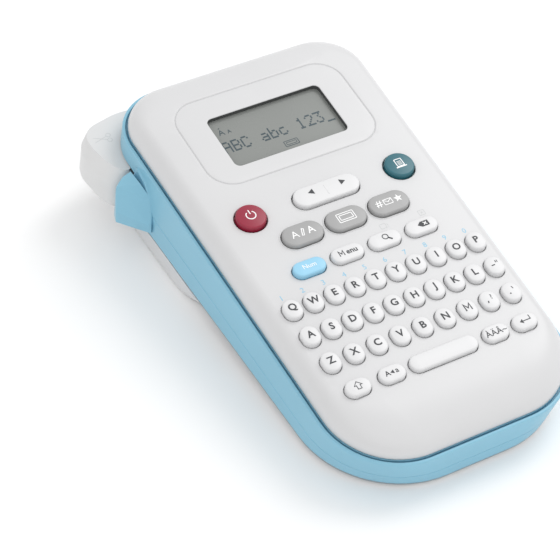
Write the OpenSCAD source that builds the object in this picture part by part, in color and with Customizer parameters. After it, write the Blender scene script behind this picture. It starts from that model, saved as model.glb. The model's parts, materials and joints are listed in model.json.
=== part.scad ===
// Handheld label maker, lying on its deep back cover with the display end raised.
// All pieces are drawn in the face frame: X across, Y towards the display, Z out of the key
// plane, which is Z = 0. The whole case is then tilted and set down on the table plane.

/* [Case] */
// Width of the top cover's rim at the display end
cover_w = 105.4; // [98:0.5:126]
// How much narrower the rim is at the keyboard end
cover_taper = 4.4; // [0:0.2:8]
// Length of the top cover's rim
cover_len = 195.2; // [190:1:234]
// Plan radius of the two corners at the display end
corner_r = 20; // [16:1:24]
// Plan radius of the two corners at the keyboard end
end_r = 29; // [24:1:32]
// Depth of the top cover's rim below the key plane
cover_h = 9.5; // [8:0.5:11.5]
// Wall thickness of the three shells
wall = 2; // [1.6:0.1:2.4]
// Dark gap between neighbouring shells
shell_gap = 0.6; // [0.3:0.1:1]
// Depth of the coloured band's lower edge at the keyboard end
band_depth = 25; // [24:0.5:30]
// Angle of the band's lower edge to the key plane
band_slope = 5; // [4:0.25:6]
// Outward lean of the band's side, per unit of depth
band_flare = 0.15; // [0.1:0.01:0.18]
// Depth of the back cover's underside at the keyboard end
end_depth = 27.6; // [27:0.2:34]
// Tilt of the key plane to the table
tilt = 8.5; // [7.5:0.25:9.5]
// Start of the deep belly along the case, from the middle
belly_start = 0; // [-12:1:8]

/* [Keys] */
// Pitch of the letter keys along a row
key_pitch = 9; // [8.7:0.1:9.4]
// Pitch of the letter rows
row_pitch = 13.3; // [12:0.1:14]
// Width of a letter key
key_w = 7.1; // [6.4:0.1:7.4]
// Length of a letter key
key_l = 8.7; // [8:0.1:10]
// Height of the keys above the key plane
key_rise = 1.9; // [1.6:0.1:2.6]
// Travel of a key
key_travel = 1.2; // [0.8:0.1:1.4]
// Clearance between a key and its hole, all round
key_gap = 0.3; // [0.2:0.05:0.4]
// Diameter of the power and print keys
round_key_d = 12; // [10:0.5:14]

/* [Display] */
// Width of the display opening
lcd_w = 51; // [44:1:60]
// Height of the display opening
lcd_h = 26.4; // [20:0.2:30]
// Depth of the display surface below the key plane
lcd_depth = 2.2; // [2.1:0.1:2.8]

/* [Tape drive] */
// Width of the tape cassette
cassette_w = 66; // [60:1:68]
// Height of the tape cassette along the case
cassette_l = 46; // [40:1:50]
// Thickness of the tape cassette
cassette_t = 16; // [14:0.5:18]
// Teeth on the platen roller's gear
roller_teeth = 28; // [24:1:30]
// Teeth on the motor's gear
motor_teeth = 16; // [14:1:18]
// Gear module
gear_module = 0.6; // [0.5:0.05:0.65]
// Radius of the rubber platen
platen_r = 3.5; // [3:0.1:4]
// Radius of the motor's can
motor_r = 7; // [6:0.25:7.5]

/* [Cutter] */
// Thickness of the cutter lever across the case's depth
lever_t = 19.5; // [16:0.5:20]
// Radius of the lever's pivot pin
pivot_r = 2; // [1.5:0.1:2.2]
// Running clearance round a pin or shaft
run_gap = 0.05; // [0.03:0.01:0.09]

/* [Power] */
// Radius of one cell
cell_r = 5.2; // [4.8:0.1:5.25]
// Length of one cell's can
cell_len = 43.3; // [40:0.5:45]

/* [Hidden] */
$fn = 48;
LETTERS = [["q", "w", "e", "r", "t", "y", "u", "i", "o", "p"],
           ["a", "s", "d", "f", "g", "h", "j", "k", "l", "dash"],
           ["z", "x", "c", "v", "b", "n", "m", "comma", "period"]];

half_len = cover_len / 2;
half_w = cover_w / 2;
low_half_w = half_w - cover_taper / 2;
low_end_r = end_r + 8;
band_top = -cover_h - shell_gap;
floor_top = band_top - 0.9;
floor_bottom = floor_top - wall;
stand_h = end_depth * cos(tilt) + half_len * sin(tilt);

// key rows, counted from the letter row nearest the display
first_row_y = -26.6;
third_pitch = key_pitch * 9 / 8.2;
low_row_y = first_row_y - 2 * row_pitch - 13.8;
menu_y = first_row_y + 14.8;
shape_y = menu_y + 15.1;
arrow_y = shape_y + 15.2;
wide_h = 7;
menu_pitch = 16.6;
menu_w = 13.6;
shape_pitch = 19.2;
shape_w = 17;
shape_l = 10;
round_key_x = 33.3;
lcd_y = 56.8;
lcd_corner_r = 2.5;

// name, x, y, width, length, colour of each key that slides
function row_keys(r, pitch, y) = [for (i = [0 : len(LETTERS[r]) - 1])
    [str("key_", LETTERS[r][i]), (i - (len(LETTERS[r]) - 1) / 2) * pitch, y, key_w, key_l, "whitesmoke"]];
LOW_KEYS = [["key_shift", -36.2, 10.2], ["key_small", -21.8, 10.8], ["key_space", 0.5, 29],
            ["key_accents", 23.4, 10.8], ["key_enter", 36.4, 10.2]];
MENU_KEYS = [["num_key", "skyblue"], ["menu_key", "whitesmoke"],
             ["search_key", "whitesmoke"], ["backspace_key", "whitesmoke"]];
SHAPE_KEYS = ["style_key", "frame_key", "symbol_key"];
KEYS = concat(
    row_keys(0, key_pitch, first_row_y),
    row_keys(1, key_pitch, first_row_y - row_pitch),
    row_keys(2, third_pitch, first_row_y - 2 * row_pitch),
    [for (k = LOW_KEYS) [k[0], k[1], low_row_y, k[2], wide_h, "whitesmoke"]],
    [for (i = [0 : 3])
        [MENU_KEYS[i][0], (i - 1.5) * menu_pitch, menu_y, menu_w, wide_h, MENU_KEYS[i][1]]],
    [for (i = [0 : 2])
        [SHAPE_KEYS[i], (i - 1) * shape_pitch, shape_y, shape_w, shape_l, "darkgray"]],
    [["power_key", -round_key_x, arrow_y, round_key_d, round_key_d, "crimson"],
     ["print_key", round_key_x, arrow_y, round_key_d, round_key_d, "teal"]]);
rocker_w = 28.5;
rocker_l = 9.4;
rocker_drop = 1;
rocker_axis_z = -1;
keel_r = 4.6;

flange_over = 0.4;
flange_t = 1;
flange_top = -wall - 0.3;
stem_bottom = flange_top - flange_t - 1.1;
mat_top = stem_bottom - key_travel - 0.2;
mat_bottom = mat_top - 1;
mat_l = 106;
board_top = mat_bottom;
board_t = 1.6;
panel_t = 1.4;

// rounding of the cover from its rim up to the key plane, as inset and height, and its hollow
ROLL = [[0, -cover_h], [0.9, -5], [3.5, -1.7], [11, -0.01]];
HOLLOW = [[wall, -cover_h - 0.1], [wall + 1.2, -5], [6.2, -wall]];

// band and back cover
flare = band_flare * (band_depth - cover_h);
lip_in = wall + 0.3;
lip_h = 1.6;
belly_w = half_w + flare - 0.3;
belly_far = half_len + flare - 2;
belly_depth = 48;
sole_depth = 66;
huge = 400;

// cutter pocket in the corner by the tape outlet
corner_c = [-half_w + corner_r, half_len - corner_r];
pocket_r = corner_r - 5.7;
pocket_x = corner_c[0] - pocket_r;
pocket_y = 68;
pocket_top = floor_bottom - 5.8;
lever_top = pocket_top - 0.6;
pivot = [corner_c[0] - 5.3, corner_c[1] + 18.7];
boss_r = 3.8;
lever_wall = 5.2;
rim_x = pocket_x - lever_wall;
blade_x = rim_x - 3.5;
blade_t = 0.6;
blade_l = 8;

// corner posts of the tape outlet's housing: x and y from the case's side and the pocket,
// foot and height
OUTLET = [[-4, -1.6, -36, 24.6], [-12.2, -2.4, -35, 17.5], [-13.4, -8, -36, 12],
          [-3.6, -20, -33, 14], [1, -12, -34, 21]];

// tape line, print head, platen and gears
tape_y = pocket_y + 1.55;
tape_t = 0.1;
slot_w = 2.4;
mesh_angle = 35;
platen = [pocket_x + 7, tape_y + tape_t / 2 + 0.15 + platen_r];
gear_span = gear_module * (roller_teeth + motor_teeth) / 2;
motor_at = platen + gear_span * [cos(mesh_angle), sin(mesh_angle)];
gear_top = floor_bottom - 0.3;
gear_t = 3;
shaft_r = 1.2;
motor_shaft_r = 1;
ring_h = 9;
head_w = 6;
cassette_top = -19;
cassette_right = platen[0] + 7.5 + cassette_w;
cassette_far = tape_y + 2.5;
motor_top = gear_top - gear_t - 1.4;
motor_len = 20;

// cells
cell_gap = 0.8;
cell_pitch = 2 * cell_r + cell_gap;
cell_z = floor_bottom - 0.4 - cell_r;
cell_y = -66;
contact_t = 0.4;
contact_w = 8;
rib_t = 1.5;
nub_len = 1.2;
spring_len = 2.6;
bay_low = cell_y - spring_len - contact_t;
bay_high = cell_y + cell_len + nub_len + contact_t;

screw_in = 7.2;
SCREWS = concat([for (s = [-1, 1]) [s * (low_half_w - 16.5), -half_len + 11.5]],
                [for (s = [-1, 1], y = [-5, 48]) [s * (half_w - screw_in), y]]);
screw_r = 1;
screw_head_r = 2.4;
screw_len = 6.5;
boss_outer_r = 2.4;
board_w = 2 * (half_w - screw_in - boss_outer_r - 0.5);
board_l = cover_len - 25;
post_r = 2.2;
base_y = belly_start + 48;

// ---- shared shapes ----

// sets a shape drawn in the face frame down on the table
module on_table() {
    translate([0, -base_y, stand_h]) rotate([tilt, 0, 0]) children();
}

// four thin discs at the corners of the case's plan, inset from the rim, for a hull
module plan_corners(inset, z, high_r = corner_r, low_r = end_r) {
    thin = 0.02;
    hr = max(high_r - inset, 2);
    lr = max(low_r - inset, 2);
    for (s = [-1, 1]) {
        translate([s * (half_w - inset - hr), half_len - inset - hr, z])
            cylinder(r = hr, h = thin, center = true, $fn = 32);
        translate([s * (low_half_w - inset - lr), -half_len + inset + lr, z])
            cylinder(r = lr, h = thin, center = true, $fn = 32);
    }
}

// the same four discs in the slanted plane of the band's lower edge
module slanted_corners(inset, drop = 0) {
    translate([0, -half_len, -band_depth - drop]) rotate([-band_slope, 0, 0])
        translate([0, half_len, 0]) plan_corners(inset, 0, corner_r, low_end_r);
}

// stadium with its long side along X or Y
module pill(w, l) {
    r = min(w, l) / 2;
    dx = w / 2 - r;
    dy = l / 2 - r;
    translate([-dx, -dy]) circle(r);
    translate([dx, dy]) circle(r);
    if (dx > 0) square([2 * dx, 2 * r], center = true);
    if (dy > 0) square([2 * r, 2 * dy], center = true);
}

module rounded(w, l, r) {
    square([w - 2 * r, l], center = true);
    square([w, l - 2 * r], center = true);
    for (x = [-1, 1], y = [-1, 1])
        translate([x * (w / 2 - r), y * (l / 2 - r)]) circle(r);
}

// plan of the cutter pocket, grown outwards into the case by grow
module pocket_plan(grow) {
    difference() {
        translate([-half_w - 20, pocket_y - grow])
            square([half_w + 20 + corner_c[0] + 10, half_len - pocket_y + grow + 20]);
        translate(corner_c) circle(pocket_r - grow);
        translate([pocket_x + grow, pocket_y - grow - 1])
            square([2 * pocket_r, corner_c[1] - pocket_y + grow + 1]);
        translate([corner_c[0], corner_c[1] - 1])
            square([40, pocket_r - grow + 1]);
    }
}

module pocket(grow) {
    depth = 60;
    translate([0, 0, pocket_top + grow - depth]) linear_extrude(depth) pocket_plan(grow);
}

// spur gear with straight-sided teeth thinned for backlash, its centre on the axis
module gear(teeth, bore_r) {
    pitch_r = gear_module * teeth / 2;
    root_r = pitch_r - 1.15 * gear_module;
    tip_r = pitch_r + 0.85 * gear_module;
    root_w = 1.02 * gear_module;
    tip_w = 0.4 * gear_module;
    difference() {
        linear_extrude(gear_t) {
            circle(root_r);
            for (i = [0 : teeth - 1]) rotate(360 / teeth * i)
                polygon([[root_r - 0.3, -root_w], [tip_r, -tip_w], [tip_r, tip_w], [root_r - 0.3, root_w]]);
        }
        if (bore_r > 0) translate([0, 0, -1]) cylinder(r = bore_r, h = gear_t + 2);
    }
}

// ---- shells ----

module top_cover() {
    color("white") on_table() {
        difference() {
            hull() for (p = ROLL) plan_corners(p[0], p[1]);
            hull() for (p = HOLLOW) plan_corners(p[0], p[1]);
            for (k = KEYS) {
                gap = k[3] == round_key_d ? 2 * key_gap : key_gap;
                translate([k[1], k[2], -wall - 1]) linear_extrude(wall + 2)
                    pill(k[3] + 2 * gap, k[4] + 2 * gap);
            }
            translate([0, arrow_y, -wall - 1]) linear_extrude(wall + 2)
                pill(rocker_w + 3 * key_gap, rocker_l + 3 * key_gap);
            translate([0, lcd_y, -wall - 1]) linear_extrude(wall + 2)
                rounded(lcd_w, lcd_h, lcd_corner_r);
        }
        // screw bosses that stand on the frame's floor
        for (s = SCREWS) translate([s[0], s[1], floor_top]) difference() {
            cylinder(r = boss_outer_r, h = -wall - floor_top + 0.3);
            translate([0, 0, -1]) cylinder(r = screw_r + run_gap, h = screw_len + 1);
        }
    }
}

// tape outlet housing on the frame's left side
module outlet_wedge() {
    hull() for (p = OUTLET) translate([-half_w + 1 + p[0], pocket_y + p[1], p[2]])
        cylinder(r = 1, h = p[3], $fn = 24);
}

module middle_frame() {
    color("skyblue") on_table() {
        difference() {
            union() {
                hull() {
                    plan_corners(-0.5, band_top);
                    slanted_corners(-0.5 - flare);
                }
                // lip that locates inside the cover's rim
                hull() {
                    plan_corners(lip_in, band_top - 1);
                    plan_corners(lip_in, band_top + lip_h);
                }
                outlet_wedge();
            }
            // tray above the floor, for the circuit board
            hull() {
                plan_corners(wall + 1.5, floor_top);
                plan_corners(wall + 1.5, band_top + 3);
            }
            // bays below the floor
            difference() {
                hull() {
                    plan_corners(wall + 0.6, floor_bottom);
                    slanted_corners(wall + 0.6 - flare, 2);
                }
                pocket(wall);
            }
            pocket(0);
            // tape slot through the pocket's wall
            translate([pocket_x - 2, tape_y - slot_w / 2, cassette_top - cassette_t + 1])
                cube([wall + 4, slot_w, cassette_t - 2]);
            translate([platen[0], platen[1], floor_bottom - 1])
                cylinder(r = shaft_r + run_gap, h = wall + 2);
            for (s = SCREWS) translate([s[0], s[1], floor_bottom - 1])
                cylinder(r = screw_r + 0.25, h = wall + 2);
        }
        // pivot pin of the cutter lever
        translate([pivot[0], pivot[1], lever_top - lever_t - 0.5])
            cylinder(r = pivot_r, h = lever_t + 1.2);
        // ribs that hold the cell contacts
        for (y = [bay_low - rib_t, bay_high])
            translate([-3 * cell_pitch, y, cell_z - cell_r])
                cube([6 * cell_pitch, rib_t, cell_r + floor_bottom - cell_z + 0.1]);
        // posts and ring that carry the motor
        translate([motor_at[0], motor_at[1], motor_top - ring_h]) {
            difference() {
                cylinder(r = motor_r + 1.4, h = ring_h);
                translate([0, 0, -1]) cylinder(r = motor_r + run_gap, h = ring_h + 2);
            }
            for (a = [-25, 42, 100]) rotate(a) translate([motor_r + 0.4, -1.5, ring_h - 2])
                cube([1, 3, floor_bottom - motor_top + 2.1]);
        }
        // board posts
        for (x = [-34, 34], y = [-78, 28, 84])
            translate([x, y, floor_top - 0.1])
                cylinder(r = post_r, h = board_top - board_t - floor_top + 0.1);
    }
}

module back_cover() {
    foot = end_depth - band_depth;
    color("white") {
        difference() {
            on_table() difference() {
                union() {
                    hull() {
                        slanted_corners(-flare - 0.3, shell_gap);
                        slanted_corners(-flare + 2.6, foot);
                    }
                    belly(0, shell_gap);
                }
                hull() {
                    slanted_corners(-flare + wall - 0.3, shell_gap - 1);
                    slanted_corners(-flare + wall + 1.6, foot - 1.2);
                }
                belly(wall, shell_gap - 1);
            }
            // everything below the table plane
            translate([-huge / 2, -huge / 2, -huge]) cube(huge);
        }
        belly_floor();
    }
}

// four thin discs at the corners of a rectangle, for a hull
module box_corners(half_x, y0, y1, r, z) {
    for (x = [-1, 1], y = [y0 + r, y1 - r]) translate([x * (half_x - r), y, z])
        cylinder(r = r, h = 0.02, center = true, $fn = 32);
}

// deep part of the back cover, from the band's lower edge down past the table plane
module belly(inset, drop) {
    r = corner_r - 1 - inset;
    low_w = belly_w - 0.8 - inset;
    hull() {
        translate([0, -half_len, -band_depth - drop]) rotate([-band_slope, 0, 0])
            translate([0, half_len, 0])
                box_corners(belly_w - inset, belly_start + inset, belly_far - inset, r, 0);
        box_corners(low_w, belly_start + 17 + inset, belly_far - 8 - inset, r, -belly_depth);
        box_corners(low_w - 3, belly_start + 28 + inset, belly_far - 15 - inset, r - 4, -sole_depth);
    }
}

// flat floor of the belly, in the table plane
module belly_floor() {
    intersection() {
        on_table() belly(0.5, 0);
        translate([-huge / 2, -huge / 2, 0]) cube([huge, huge, wall]);
    }
}

// ---- cutter ----

module lever_plan() {
    outer = [[pivot[0] + 2, half_len + 5.5], [-half_w + 5, half_len + 6.2],
             [-half_w - 8.3, half_len + 3.4], [-half_w - 12.3, half_len + 0.2],
             [-half_w - 14, half_len - 6], [-half_w - 12.4, half_len - 17],
             [-half_w - 9.6, pocket_y + 5.2], [-half_w - 4.2, pocket_y + 3.8],
             [rim_x, corner_c[1]]];
    arc = [for (a = [180 : -15 : 105]) corner_c + (pocket_r + lever_wall) * [cos(a), sin(a)]];
    polygon(concat(outer, arc));
    translate(pivot) circle(boss_r);
}

module blade_solid(grow) {
    translate([blade_x - grow, pocket_y + 2.7, cassette_top - cassette_t + 1 - grow])
        cube([blade_t + 2 * grow, blade_l + grow, cassette_t - 2 + 2 * grow]);
}

module cutter_lever() {
    color("white") on_table() difference() {
        translate([0, 0, lever_top - lever_t]) linear_extrude(lever_t) lever_plan();
        translate([pivot[0], pivot[1], lever_top - lever_t - 1])
            cylinder(r = pivot_r + run_gap, h = lever_t + 2);
        blade_solid(run_gap);
    }
}

module cutter_blade() {
    color("silver") on_table() blade_solid(0);
}

// ---- display and electronics ----

module display_panel() {
    color("dimgray") on_table() {
        translate([0, lcd_y, -lcd_depth - panel_t]) linear_extrude(panel_t)
            rounded(lcd_w + 5, lcd_h + 4, 1);
        translate([0, lcd_y, board_top]) linear_extrude(-lcd_depth - panel_t - board_top)
            rounded(lcd_w + 8, lcd_h + 7, 1);
    }
}

module circuit_board() {
    color("darkgreen") on_table() {
        translate([0, 2.5, board_top - board_t]) linear_extrude(board_t)
            rounded(board_w, board_l, 3);
        // driver chip and connector beyond the display
        translate([-12, 80, board_top]) linear_extrude(1.6) square([12, 9], center = true);
        translate([14, 82, board_top]) linear_extrude(2.4) square([16, 5], center = true);
    }
}

module keypad_mat() {
    color("lightgray") on_table() {
        translate([0, -25, mat_bottom]) linear_extrude(mat_top - mat_bottom)
            rounded(board_w - 1, mat_l, 3);
    }
}

// ---- keys ----

module keycap(k) {
    r = min(k[3], k[4]) / 2;
    color(k[5]) on_table() translate([k[1], k[2], 0]) {
        translate([0, 0, flange_top - 0.1]) linear_extrude(key_rise - flange_top + 0.1)
            pill(k[3], k[4]);
        translate([0, 0, flange_top - flange_t]) linear_extrude(flange_t)
            pill(k[3] + 2 * flange_over, k[4] + 2 * flange_over);
        translate([0, 0, stem_bottom]) cylinder(r = r * 0.7, h = 1.2);
    }
}

module arrow_rocker() {
    top = flange_top - rocker_drop;
    flange_t = 0.8;
    keel_w = 4;
    color("whitesmoke") on_table() translate([0, arrow_y, 0]) {
        translate([0, 0, top - 0.1]) linear_extrude(key_rise - top + 0.1) pill(rocker_w, rocker_l);
        translate([0, 0, top - flange_t]) linear_extrude(flange_t)
            pill(rocker_w + 2 * flange_over, rocker_l + 2 * flange_over);
        // round keel on the rocking axis
        intersection() {
            translate([0, keel_w / 2, rocker_axis_z]) rotate([90, 0, 0])
                cylinder(r = keel_r, h = keel_w);
            translate([-keel_r, -keel_w, mat_top]) cube([2 * keel_r, 2 * keel_w, top - 0.3 - mat_top]);
        }
    }
}

// ---- power ----

module batteries() {
    color("goldenrod") on_table() for (i = [0 : 5])
        translate([(i - 2.5) * cell_pitch, cell_y, cell_z]) rotate([-90, 0, 0]) {
            cylinder(r = cell_r, h = cell_len);
            cylinder(r = 1.9, h = cell_len + nub_len);
        }
}

module battery_contacts() {
    color("silver") on_table() for (i = [0 : 5]) translate([(i - 2.5) * cell_pitch, 0, cell_z]) {
        for (y = [bay_low, bay_high - contact_t])
            translate([-contact_w / 2, y, -contact_w / 2]) cube([contact_w, contact_t, contact_w]);
        translate([0, bay_low + contact_t, 0]) rotate([-90, 0, 0])
            cylinder(r1 = 3.4, r2 = 1.8, h = spring_len);
    }
}

// ---- tape drive ----

module tape_cassette() {
    x0 = cassette_right - cassette_w;
    y0 = cassette_far - cassette_l;
    color("lightgray") on_table() {
        difference() {
            translate([x0 + cassette_w / 2, y0 + cassette_l / 2, cassette_top - cassette_t])
                linear_extrude(cassette_t) rounded(cassette_w, cassette_l, 3);
            // spool holes open to the back
            for (x = [x0 + 20, x0 + cassette_w - 18])
                translate([x, y0 + cassette_l / 2, cassette_top - cassette_t - 1])
                    cylinder(r = 4, h = 7);
            translate([x0 - 1, tape_y - 1, cassette_top - cassette_t + 1])
                cube([7, 2, cassette_t - 2]);
        }
        // end of the tape, past the head to the outlet
        translate([pocket_x - 3, tape_y - tape_t / 2, cassette_top - cassette_t + 2])
            cube([x0 + 8 - pocket_x, tape_t, cassette_t - 4]);
    }
}

module print_head() {
    face_y = tape_y - tape_t / 2 - 0.1;
    color("dimgray") on_table() {
        // head, arm behind it and foot on the floor
        translate([platen[0] - head_w / 2, face_y, gear_top - gear_t]) {
            translate([0, -2.4, cassette_top - cassette_t + 1 - gear_top + gear_t])
                cube([head_w, 2.4, gear_top - gear_t - 0.6 - cassette_top + cassette_t - 1]);
            translate([0, -9.4, -2.2]) cube([head_w, 9.4, 1.6]);
            translate([0, -9.4, -1]) cube([head_w, 1.6, floor_bottom - gear_top + gear_t + 1]);
        }
    }
}

module platen_roller() {
    color("darkslategray") on_table() translate([platen[0], platen[1], 0]) {
        translate([0, 0, cassette_top - cassette_t - 1.5])
            cylinder(r = shaft_r, h = floor_top - 0.3 - cassette_top + cassette_t + 1.5);
        translate([0, 0, cassette_top - cassette_t + 1]) cylinder(r = platen_r, h = cassette_t - 2);
        translate([0, 0, gear_top - gear_t]) rotate(mesh_angle) gear(roller_teeth, 0);
    }
}

module motor_gear() {
    // half a tooth of turn puts a gap opposite the platen gear's tooth
    mesh = 180 + mesh_angle + 180 / motor_teeth;
    color("ivory") on_table() translate([motor_at[0], motor_at[1], 0]) {
        translate([0, 0, gear_top - gear_t]) rotate(mesh) gear(motor_teeth, 0);
        translate([0, 0, motor_top - 3]) cylinder(r = motor_shaft_r, h = gear_top - motor_top + 3);
    }
}

module drive_motor() {
    color("silver") on_table() translate([motor_at[0], motor_at[1], motor_top - motor_len])
        difference() {
            cylinder(r = motor_r, h = motor_len);
            translate([0, 0, motor_len - 4]) cylinder(r = motor_shaft_r + run_gap, h = 5);
        }
}

module case_screws() {
    color("gray") on_table() for (s = SCREWS) translate([s[0], s[1], floor_bottom]) {
        translate([0, 0, -1.6]) cylinder(r = screw_head_r, h = 1.6);
        cylinder(r = screw_r, h = wall + screw_len - 0.6);
    }
}

top_cover();
middle_frame();
back_cover();
cutter_lever();
cutter_blade();
display_panel();
circuit_board();
keypad_mat();
batteries();
battery_contacts();
tape_cassette();
print_head();
platen_roller();
motor_gear();
drive_motor();
case_screws();
arrow_rocker();
for (k = KEYS) keycap(k);
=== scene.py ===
"""Looks of the handheld label maker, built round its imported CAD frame.

Shapes are made in the face frame, in millimetres: X across the case, Y towards the display, Z out of
the key plane, with the origin at the middle of the top cover. FACE carries them to the row frame.
"""

import json
import math

import bmesh
import bpy
import numpy as np
from mathutils import Matrix, Vector
from mathutils.geometry import delaunay_2d_cdt


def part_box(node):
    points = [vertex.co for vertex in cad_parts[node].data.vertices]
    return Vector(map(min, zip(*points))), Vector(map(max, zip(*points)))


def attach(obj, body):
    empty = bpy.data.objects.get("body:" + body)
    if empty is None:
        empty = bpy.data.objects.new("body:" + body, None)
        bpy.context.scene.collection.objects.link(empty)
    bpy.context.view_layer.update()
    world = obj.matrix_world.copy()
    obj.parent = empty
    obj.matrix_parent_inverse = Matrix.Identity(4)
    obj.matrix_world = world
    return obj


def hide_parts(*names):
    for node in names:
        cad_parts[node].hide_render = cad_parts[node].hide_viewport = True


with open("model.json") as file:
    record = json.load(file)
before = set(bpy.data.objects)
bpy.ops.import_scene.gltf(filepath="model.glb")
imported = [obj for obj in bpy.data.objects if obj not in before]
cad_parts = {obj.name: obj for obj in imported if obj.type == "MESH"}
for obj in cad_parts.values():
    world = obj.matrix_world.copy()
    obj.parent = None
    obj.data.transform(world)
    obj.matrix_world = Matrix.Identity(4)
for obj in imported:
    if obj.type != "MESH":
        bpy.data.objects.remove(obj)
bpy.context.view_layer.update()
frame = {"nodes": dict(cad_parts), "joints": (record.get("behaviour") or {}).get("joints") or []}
nodes = frame["nodes"]
joints = {j["name"]: j for j in frame["joints"]}

# ---- the face frame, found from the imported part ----

MM = 0.001
press = Vector(joints["key_q_press"]["axis"])
TILT = math.atan2(press.y, -press.z)
cover_points = np.array([Matrix.Rotation(-TILT, 3, "X") @ v.co for v in nodes["top_cover"].data.vertices])
cover_low, cover_high = cover_points.min(0), cover_points.max(0)
middle = (cover_low + cover_high) / 2
FACE = (Matrix.Rotation(TILT, 4, "X") @ Matrix.Translation((middle[0], middle[1], cover_high[2]))
        @ Matrix.Scale(MM, 4))
TO_FACE = FACE.inverted()


def face_box(node):
    """Lowest and highest corner of a CAD node, in the face frame."""
    points = np.array([TO_FACE @ v.co for v in nodes[node].data.vertices])
    return Vector(points.min(0)), Vector(points.max(0))


def face_point(joint):
    """Where a joint's axis stands, in the face frame."""
    return TO_FACE @ Vector(joints[joint]["pos_m"])


# ---- sizes, in millimetres ----

HALF_W = (cover_high[0] - cover_low[0]) / 2 / MM
HALF_LEN = (cover_high[1] - cover_low[1]) / 2 / MM
TAPER = 2.2  # the cover is this much narrower on each side at the keyboard end
CORNER_R = 20
END_R = 29
LOW_END_R = 37  # the same corners at the band's lower edge
RIM_Z = -9.5
WALL = 2
ARC = 16  # steps round a quarter of a corner
ROLL_SIDE, ROLL_HIGH, ROLL_LOW = 6.0, 13.0, 22.0  # width of the cover's rounding at its sides and ends
CROWN = 1.2  # how far the cover falls towards its sides

BAND_TOP = -10.1
BAND_DEPTH = 25
BAND_SLOPE = math.radians(5)
BAND_OVER = 0.5  # how far the band stands out beyond the cover at its upper edge
BAND_FLARE = 2.325
FLOOR_TOP = -11
FLOOR_BOTTOM = -13
END_DEPTH = 27.6
GAP = 0.6  # between the band and the back cover
BELLY_START = 0

KEY_TOP = 1.9
KEY_GAP = 0.3
FLANGE = 0.4
FLANGE_TOP = -2.3
INK_T = 0.05  # thickness of printed artwork
INK_LIFT = 0.06  # how far a legend stands off the flat facets of a domed cap
LCD_W, LCD_L, LCD_R, LCD_DEPTH = 51.0, 26.4, 2.5, 2.2
LCD_Y = 56.8

POCKET_Y = 68
POCKET_TOP = -18.8
END_SCREWS = [(s * 34, -86.1) for s in (-1, 1)]
SIDE_SCREWS = [(s * 45.5, y) for s in (-1, 1) for y in (-5, 48)]
BOSS_R, BOSS_BORE = 2.4, 1.05
END_BOSS_TOP = -6  # the cover's rounded end is low over these two
BOARD_POSTS = [(x, y) for x in (-34, 34) for y in (-78, 28, 84)]
MOTOR_POSTS = (-25, 42, 100)  # directions of the motor's posts, in degrees
CORNER = Vector((-HALF_W + CORNER_R, HALF_LEN - CORNER_R))
POCKET_R = CORNER_R - 5.7
POCKET_X = CORNER.x - POCKET_R


# ---- outlines in the plan ----

def arc(cx, cy, r, start, end, steps):
    """Points on a circle from start to end, in degrees, both ends included."""
    angles = [math.radians(start + (end - start) * i / steps) for i in range(steps + 1)]
    return [(cx + r * math.cos(a), cy + r * math.sin(a)) for a in angles]


def plan(side, high=None, low=None, end_r=END_R):
    """Outline of the case, pulled in by side, and by high and low at its two ends."""
    high = side if high is None else high
    low = side if low is None else low
    hr = max(CORNER_R - (side + high) / 2, 2)
    lr = max(end_r - (side + low) / 2, 2)
    top = Vector((HALF_W - side - hr, HALF_LEN - high - hr))
    end = Vector((HALF_W - TAPER - side - lr, -HALF_LEN + low + lr))
    across = top - end
    lean = math.degrees(math.atan2(across.y, across.x) - math.acos((lr - hr) / across.length))
    return (arc(top.x, top.y, hr, lean, 90, ARC) + arc(-top.x, top.y, hr, 90, 180 - lean, ARC)
            + arc(-end.x, end.y, lr, 180 - lean, 270, ARC) + arc(end.x, end.y, lr, 270, 360 + lean, ARC))


def low_plan(side):
    """Outline of the band's lower edge, whose corners at the keyboard end are rounder."""
    return plan(side, end_r=LOW_END_R)


def pill(w, l, steps=14):
    """Outline with round ends, long across or along."""
    r = min(w, l) / 2
    dx, dy = w / 2 - r, l / 2 - r
    turn = -90 if w >= l else 0
    half = 90 / steps
    one = arc(dx, dy, r, turn + half, turn + 180 - half, steps - 1)
    return one + arc(-dx, -dy, r, turn + 180 + half, turn + 360 - half, steps - 1)


def rounded(w, l, r, steps=8):
    """Rectangle with round corners."""
    x, y = w / 2 - r, l / 2 - r
    return (arc(x, y, r, 0, 90, steps) + arc(-x, y, r, 90, 180, steps)
            + arc(-x, -y, r, 180, 270, steps) + arc(x, -y, r, 270, 360, steps))


def circle(r, steps=24):
    return arc(0, 0, r, 0, 360 - 360 / steps, steps - 1)


def soften(corners, r, steps=5):
    """Polygon with each corner turned into a curve that starts r before it and ends r after it."""
    out = []
    for i, p in enumerate(corners):
        p, a, b = Vector(p), Vector(corners[i - 1]), Vector(corners[(i + 1) % len(corners)])
        start = p + (a - p).normalized() * min(r, (a - p).length * 0.45)
        end = p + (b - p).normalized() * min(r, (b - p).length * 0.45)
        for k in range(steps + 1):
            t = k / steps
            out.append(tuple(start * (1 - t) ** 2 + p * 2 * t * (1 - t) + end * t ** 2))
    return out


def level(outline, z, x=0, y=0):
    return [(p[0] + x, p[1] + y, z) for p in outline]


def slanted(outline, drop=0):
    """The outline laid in the plane of the band's lower edge, drop below it."""
    out = []
    for x, y in outline:
        along = y + HALF_LEN
        out.append((x, -HALF_LEN + along * math.cos(BAND_SLOPE),
                    -BAND_DEPTH - drop - along * math.sin(BAND_SLOPE)))
    return out


def between(one, two, t):
    return [tuple(Vector(a).lerp(Vector(b), t)) for a, b in zip(one, two)]


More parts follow.
